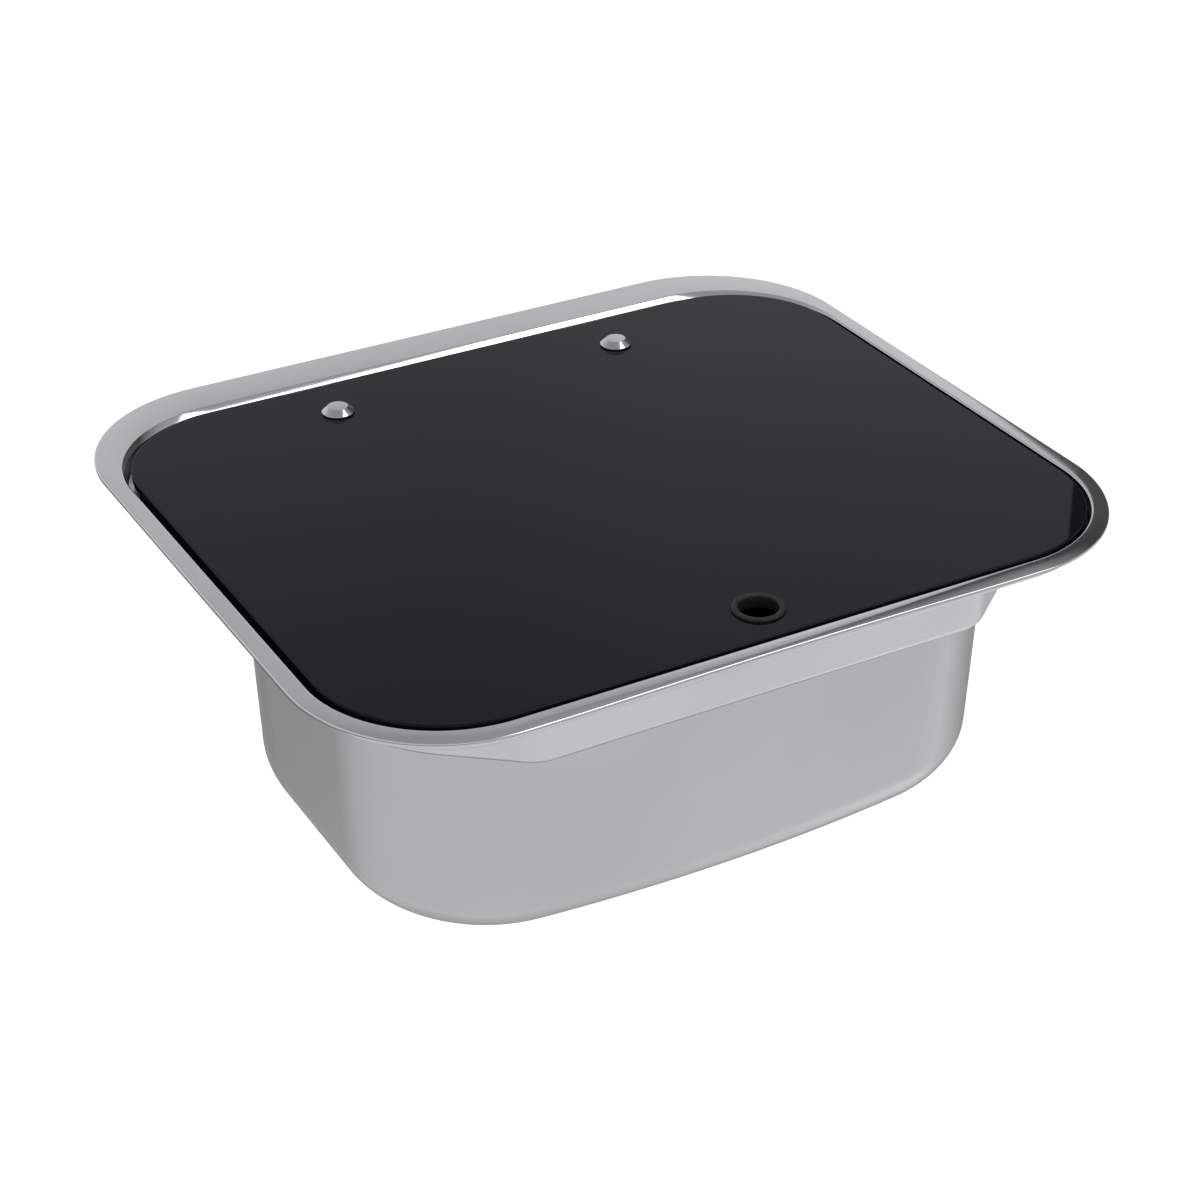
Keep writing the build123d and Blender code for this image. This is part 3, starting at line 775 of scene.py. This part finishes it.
plug_base = -161.5
drain_chrome = turning_marks("plug_chrome", (0.72, 0.72, 0.73), (0, drain_y), 0.000006, 0.1)
plug_section = [
    (0, plug_base + 2.5, 0),
    (25, plug_base + 2.5, 0.8),
    (25, plug_base, 0.5),
    (18, plug_base, 0.6),
    (18, plug_base - 6, 1.5),
    (0, plug_base - 6, 0),
]
stopper = turned("plug_rubber", plug_section, (0, drain_y, 0))
dress(stopper, black_rubber, "black_rubber", "plug", "plug_seal")
disc_section = [
    (0, plug_base + 3.5, 0),
    (14, plug_base + 3.45, 0),
    (20.5, plug_base + 3.25, 0),
    (22.5, plug_base + 2.9, 0.15),
    (22.5, plug_base + 2.5, 0),
    (0, plug_base + 2.5, 0),
]
disc = turned("plug_disc", disc_section, (0, drain_y, 0))
dress(disc, drain_chrome, "chrome", "plug", "plug_cap")
knob_section = [
    (0, plug_base + 12.5, 0),
    (6.0, plug_base + 12.5, 1.3),
    (6.0, plug_base + 9.0, 0.9),
    (3.2, plug_base + 8.4, 1.0),
    (3.2, plug_base + 4.3, 0.7),
    (4.6, plug_base + 3.5, 0),
    (0, plug_base + 3.5, 0),
]
knob = turned("plug_button", knob_section, (0, drain_y, 0), 64)
dress(knob, drain_chrome, "chrome", "plug", "plug_knob")
give(satin_steel("strainer_steel", (0.5, 0.5, 0.51), (0.6, 0.6, 0.61), 0.2, 0.3), "strainer")
give(matt_rubber("waste_plastic", (0.02, 0.02, 0.021), (0.03, 0.03, 0.031), 0.45), "waste_body")


# ---- Floor, light and camera ----
# A pale floor well below the hanging sink that glows by its own emission, with painted shade where only
# the steel mirrors it. One soft box at the front right, and a light grey surrounding with a dark panel
# to the right of the sink.
floor_reach, floor_low = 8, -0.6
quarters = ((-1, -1), (1, -1), (1, 1), (-1, 1))
floor_corners = [(x * floor_reach, y * floor_reach, floor_low) for x, y in quarters]
floor_mesh = bpy.data.meshes.new("floor")
floor_mesh.from_pydata(floor_corners, [], [(0, 1, 2, 3)])
floor = bpy.data.objects.new("floor", floor_mesh)
bpy.context.scene.collection.objects.link(floor)
# The floor glows by its emission, whose colour carries the painted shade below.
floor_glow_and_shade, floor_tree, floor_shader = new_material("floor_glow_and_shade", (0.3, 0.3, 0.3), 0.0, 0.9)
floor_shader.inputs["Specular IOR Level"].default_value = 0.0
floor_shader.inputs["Emission Strength"].default_value = 1.0


def ramp_along(tree, source, way, start, end, low, high):
    """Smooth change of a value along a direction, between two distances."""
    along = tree.nodes.new("ShaderNodeVectorMath")
    along.operation = "DOT_PRODUCT"
    along.inputs[1].default_value = way
    tree.links.new(source, along.inputs[0])
    smooth = tree.nodes.new("ShaderNodeMapRange")
    smooth.interpolation_type = "SMOOTHSTEP"
    for name, value in (("From Min", start), ("From Max", end), ("To Min", low), ("To Max", high)):
        smooth.inputs[name].default_value = value
    tree.links.new(along.outputs["Value"], smooth.inputs["Value"])
    return smooth.outputs["Result"]


ground = floor_tree.nodes.new("ShaderNodeTexCoord").outputs["Object"]
# Painted shade on the glowing floor: its emission falls under the sink and towards the camera, far to
# the left and far to the front right, and never below 0.34.
ahead = ramp_along(floor_tree, ground, (0.49, 0.87, 0), -0.1, 0.14, 0.47, 1.0)
aside = ramp_along(floor_tree, ground, (0.97, -0.242, 0), -0.54, -0.32, 0.25, 1.0)
beyond = ramp_along(floor_tree, ground, (0.764, -0.645, 0), 0.37, 0.7, 1.0, 0.52)
least = ramp_along(floor_tree, ground, (0, 1, 0), 0.1, 0.6, 0.46, 0.34)
painted_floor_shade = floor_tree.nodes.new("ShaderNodeMath")
painted_floor_shade.operation = "MINIMUM"
floor_tree.links.new(ahead, painted_floor_shade.inputs[0])
floor_tree.links.new(beyond, painted_floor_shade.inputs[1])
tone = floor_tree.nodes.new("ShaderNodeMath")
tone.operation = "MAXIMUM"
floor_tree.links.new(times(floor_tree, painted_floor_shade.outputs["Value"], aside), tone.inputs[0])
floor_tree.links.new(least, tone.inputs[1])
floor_tree.links.new(tone.outputs["Value"], floor_shader.inputs["Emission Color"])
floor_mesh.materials.append(floor_glow_and_shade)


def soft_box(name, place, aim, width, height, power):
    """Rectangular area light that faces a point."""
    data = bpy.data.lights.new(name, "AREA")
    data.shape = "RECTANGLE"
    data.size, data.size_y = width, height
    data.energy = power
    light = bpy.data.objects.new(name, data)
    way = Vector(place) - Vector(aim)
    light.matrix_world = Matrix.Translation(place) @ way.to_track_quat("Z", "Y").to_matrix().to_4x4()
    bpy.context.scene.collection.objects.link(light)


soft_box("key", (1.0, -1.08, 1.9), (0, 0, 0), 1.3, 0.9, 11)

world = bpy.data.worlds.new("studio")
bpy.context.scene.world = world
world.use_nodes = True
sky = world.node_tree
direction = sky.nodes.new("ShaderNodeTexCoord").outputs["Generated"]
split = sky.nodes.new("ShaderNodeSeparateXYZ")
height = sky.nodes.new("ShaderNodeValToRGB")
stops = height.color_ramp.elements
stops[0].position, stops[0].color = 0.0, (0.85, 0.85, 0.87, 1)
stops[1].position, stops[1].color = 1.0, (0.46, 0.46, 0.47, 1)
for position, grey in ((0.42, 0.72), (0.56, 0.54), (0.72, 0.50), (0.85, 0.46)):
    stop = stops.new(position)
    stop.color = (grey, grey, grey * 1.02, 1)
sky.links.new(direction, split.inputs["Vector"])
sky.links.new(split.outputs["Z"], height.inputs["Fac"])
turn_to = sky.nodes.new("ShaderNodeMath")
turn_to.operation = "ARCTAN2"
sky.links.new(split.outputs["X"], turn_to.inputs[0])
sky.links.new(split.outputs["Y"], turn_to.inputs[1])
round_it = sky.nodes.new("ShaderNodeMapRange")
round_it.inputs["From Min"].default_value = -math.pi
round_it.inputs["From Max"].default_value = math.pi
sky.links.new(turn_to.outputs["Value"], round_it.inputs["Value"])
sides = sky.nodes.new("ShaderNodeValToRGB")
stops = sides.color_ramp.elements
stops[0].position, stops[0].color = 0.0, (0.85, 0.85, 0.85, 1)
stops[1].position, stops[1].color = 1.0, (0.85, 0.85, 0.85, 1)
for heading, grey in ((-40, 1.0), (15, 0.92), (26, 0.85), (31, 0.98), (42, 1.02), (100, 0.8)):
    stop = stops.new(0.5 + heading / 360)
    stop.color = (grey, grey, grey, 1)
sky.links.new(round_it.outputs["Result"], sides.inputs["Fac"])
blend = sky.nodes.new("ShaderNodeMix")
blend.data_type, blend.blend_type = "RGBA", "MULTIPLY"
blend.inputs["Factor"].default_value = 1.0
sky.links.new(height.outputs["Color"], blend.inputs["A"])
panel = [math.radians(heading) for heading in (40.36, 40.42, 75, 100)]
onto_panel = spread(sky, turn_to.outputs["Value"], 1.0, 0.12, *panel[:2])
past_panel = spread(sky, turn_to.outputs["Value"], 0, 1, *panel[2:])
around = times(sky, sides.outputs["Color"], mixed(sky, past_panel, onto_panel, 1.0))
overhead = spread(sky, split.outputs["Z"], 0, 1, 0.6, 0.85)
sky.links.new(mixed(sky, overhead, around, 0.8), blend.inputs["B"])
sky.links.new(blend.outputs["Result"], sky.nodes["Background"].inputs["Color"])
sky.nodes["Background"].inputs["Strength"].default_value = 1.0
bpy.context.scene.view_settings.view_transform = "Standard"

azimuth, elevation, roll = (math.radians(a) for a in (-29.1732, 30.527, -0.322))
target = Vector((-0.0546393, -0.1052909, 0))
distance, focal_pixels, image_pixels = 1.218207, 2707.473, 1200
back = Vector(
    (
        math.sin(azimuth) * math.cos(elevation),
        -math.cos(azimuth) * math.cos(elevation),
        math.sin(elevation),
    )
)
across = Vector((0, 0, 1)).cross(back).normalized()
up = back.cross(across)
right = across * math.cos(roll) + up * math.sin(roll)
top = up * math.cos(roll) - across * math.sin(roll)
lens_data = bpy.data.cameras.new("camera")
lens_data.sensor_width = 36
lens_data.lens = focal_pixels / image_pixels * lens_data.sensor_width
camera = bpy.data.objects.new("camera", lens_data)
turn = Matrix((right, top, back)).transposed().to_4x4()
camera.matrix_world = Matrix.Translation(target + back * distance) @ turn
bpy.context.scene.collection.objects.link(camera)
bpy.context.scene.camera = camera

bpy.context.view_layer.update()
